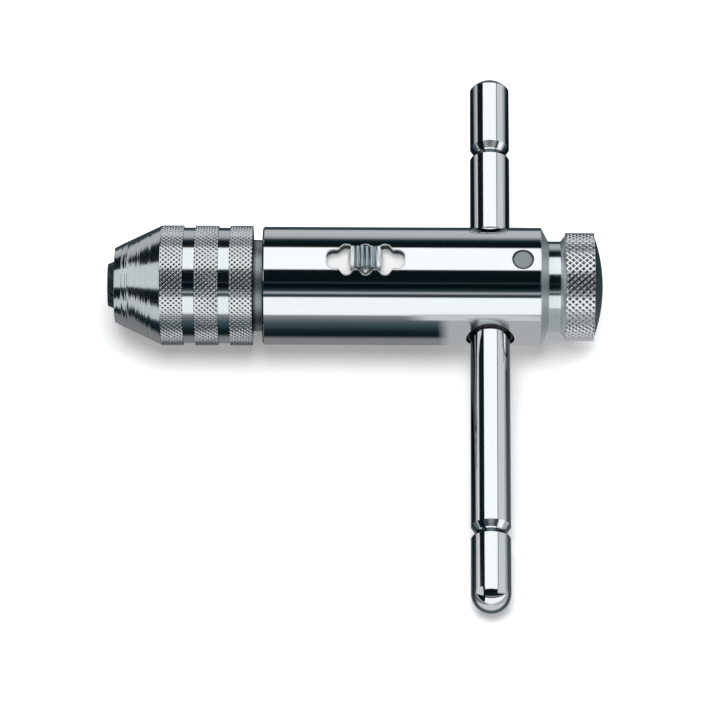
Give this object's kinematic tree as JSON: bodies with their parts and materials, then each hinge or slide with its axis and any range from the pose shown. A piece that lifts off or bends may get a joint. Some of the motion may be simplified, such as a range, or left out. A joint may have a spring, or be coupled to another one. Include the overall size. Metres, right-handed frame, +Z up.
{
  "type": "ratchet tap wrench",
  "caption": "Reversible ratchet tap wrench with a knurled two-jaw chuck, a sliding T-bar, a thumb switch in a scalloped window and a domed rear knob.",
  "frame": {"origin": "on the tool axis, at the front face of the jaws, where the tap's square goes in", "axes": "+X from the jaws to the knob, +Z up with the wrench lying on a table, the long end of the T-bar towards -Y and down on the table"},
  "size_m": [0.0838, 0.0995, 0.0211],
  "materials": {
    "body_chrome": "bright chrome plate over a turned and polished tube",
    "knob_chrome": "bright chrome plate with a diamond-knurled band",
    "nut_chrome": "chrome plate over turning marks, three diamond-knurled bands",
    "bar_chrome": "bright chrome plate over ground round bar",
    "pin_steel": "plain ground steel",
    "black_rubber": "black nitrile rubber",
    "bush_steel": "turned steel, oiled",
    "spindle_steel": "turned and hardened steel",
    "spring_steel": "spring steel",
    "jaw_steel": "hardened steel, dark from heat treatment",
    "switch_steel": "nickel-plated steel, ribbed on top",
    "pawl_steel": "hardened steel"
  },
  "bodies": {
    "housing": {"housing": "body_chrome", "rear_knob": "knob_chrome", "knob_pin": "pin_steel", "bar_ring_near": "black_rubber", "bar_ring_far": "black_rubber", "ratchet_bush": "bush_steel", "pawl_pin": "pin_steel"},
    "spindle": {"spindle": "spindle_steel", "thrust_washer": "spring_steel", "circlip": "spring_steel", "jaw_spring_a": "spring_steel", "jaw_spring_b": "spring_steel"},
    "nut_ring": {"nut_ring": "black_rubber"},
    "chuck_nut": {"chuck_nut": "nut_chrome"},
    "jaw_a": {"jaw_a": "jaw_steel"},
    "jaw_b": {"jaw_b": "jaw_steel"},
    "handle_bar": {"handle_bar": "bar_chrome"},
    "switch": {"switch_button": "switch_steel", "switch_plate": "switch_steel", "detent_spring": "spring_steel", "plunger": "switch_steel", "plunger_spring": "spring_steel"},
    "pawl": {"pawl": "pawl_steel"}
  },
  "joints": [
    {"name": "spindle_turn", "type": "hinge", "parent": "housing", "child": "spindle", "pos_m": [0.02625, 0, 0], "axis": [1, 0, 0], "continuous": true},
    {"name": "nut_turn", "type": "hinge", "parent": "nut_ring", "child": "chuck_nut", "pos_m": [0.0197, 0, 0], "axis": [-1, 0, 0], "range_deg": [-180.5, 1800.5]},
    {"name": "nut_advance", "type": "slide", "parent": "spindle", "child": "nut_ring", "axis": [-1, 0, 0], "range_m": [-0.0005, 0.005]},
    {"name": "jaw_a_slide", "type": "slide", "parent": "spindle", "child": "jaw_a", "axis": [0, -0.4873, -0.8733], "range_m": [-0.00018, 0.00183], "deforming": ["jaw_spring_a"]},
    {"name": "jaw_b_slide", "type": "slide", "parent": "spindle", "child": "jaw_b", "axis": [0, 0.4873, 0.8733], "range_m": [-0.00018, 0.00183], "deforming": ["jaw_spring_b"]},
    {"name": "bar_slide", "type": "slide", "parent": "housing", "child": "handle_bar", "axis": [0, -0.9929, -0.1191], "range_m": [-0.03691, 0.01621]},
    {"name": "switch_slide", "type": "slide", "parent": "housing", "child": "switch", "axis": [1, 0, 0], "range_m": [-0.00325, 0.00325], "deforming": ["detent_spring"]},
    {"name": "pawl_rock", "type": "hinge", "parent": "housing", "child": "pawl", "pos_m": [0.04365, -0.00072, 0.00601], "axis": [0, 0.9929, 0.1191], "range_deg": [-6.5, 6.5]}
  ],
  "couplings": [
    {"joint": "nut_turn", "follows": "nut_advance", "rad_per_m": 6283.2},
    {"joint": "jaw_a_slide", "follows": "nut_advance", "ratio": 0.36397},
    {"joint": "jaw_b_slide", "follows": "nut_advance", "ratio": 0.36397},
    {"joint": "pawl_rock", "follows": "switch_slide", "rad_per_m": 34.37}
  ]
}
